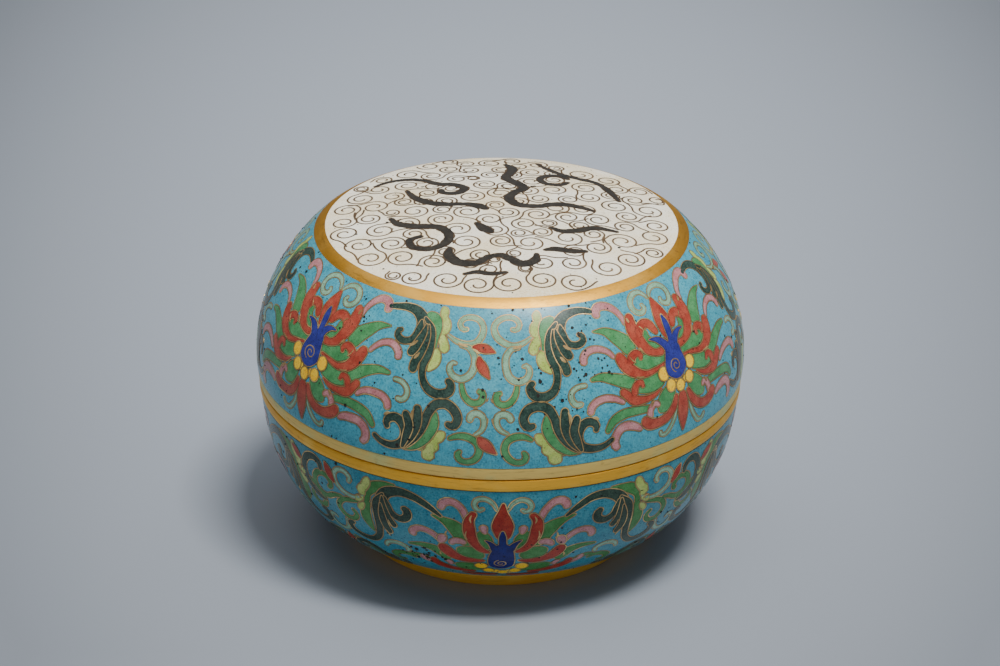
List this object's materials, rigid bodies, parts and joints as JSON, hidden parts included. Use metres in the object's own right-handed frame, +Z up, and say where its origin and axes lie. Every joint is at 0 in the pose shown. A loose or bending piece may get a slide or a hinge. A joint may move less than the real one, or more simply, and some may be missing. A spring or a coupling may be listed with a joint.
{
  "type": "cloisonne enamel box",
  "caption": "Round bulging box of cloisonne enamel with a lift-off domed lid, a low domed roundel on top, gilt collars at the mouth and a low gilt foot ring, for holding small things.",
  "frame": {"origin": "on the table at the middle of the foot ring", "axes": "+Z up through the middle of the roundel, -Y towards the viewer of the picture, +X to the viewer's right"},
  "size_m": [0.1248, 0.1248, 0.0871],
  "materials": {
    "turquoise_enamel": "polished opaque enamel, slightly mottled, with fine pits",
    "white_enamel": "polished opaque enamel, ivory at the edge, pitted",
    "cobalt_enamel": "polished opaque enamel",
    "green_enamel": "polished opaque enamel",
    "dark_green_enamel": "polished opaque enamel",
    "lime_enamel": "polished opaque enamel",
    "mint_enamel": "polished opaque enamel",
    "red_enamel": "polished opaque enamel",
    "pink_enamel": "polished opaque enamel",
    "yellow_enamel": "polished opaque enamel",
    "black_enamel": "polished opaque enamel",
    "gilt": "gilt copper, worn satin with fine scratches and darker edges"
  },
  "bodies": {
    "root": {"lid_shell": "turquoise_enamel", "roundel_hoop": "gilt", "lid_collar": "gilt", "bowl_shell": "turquoise_enamel", "bowl_collar": "gilt", "foot_ring": "gilt"}
  },
  "joints": []
}
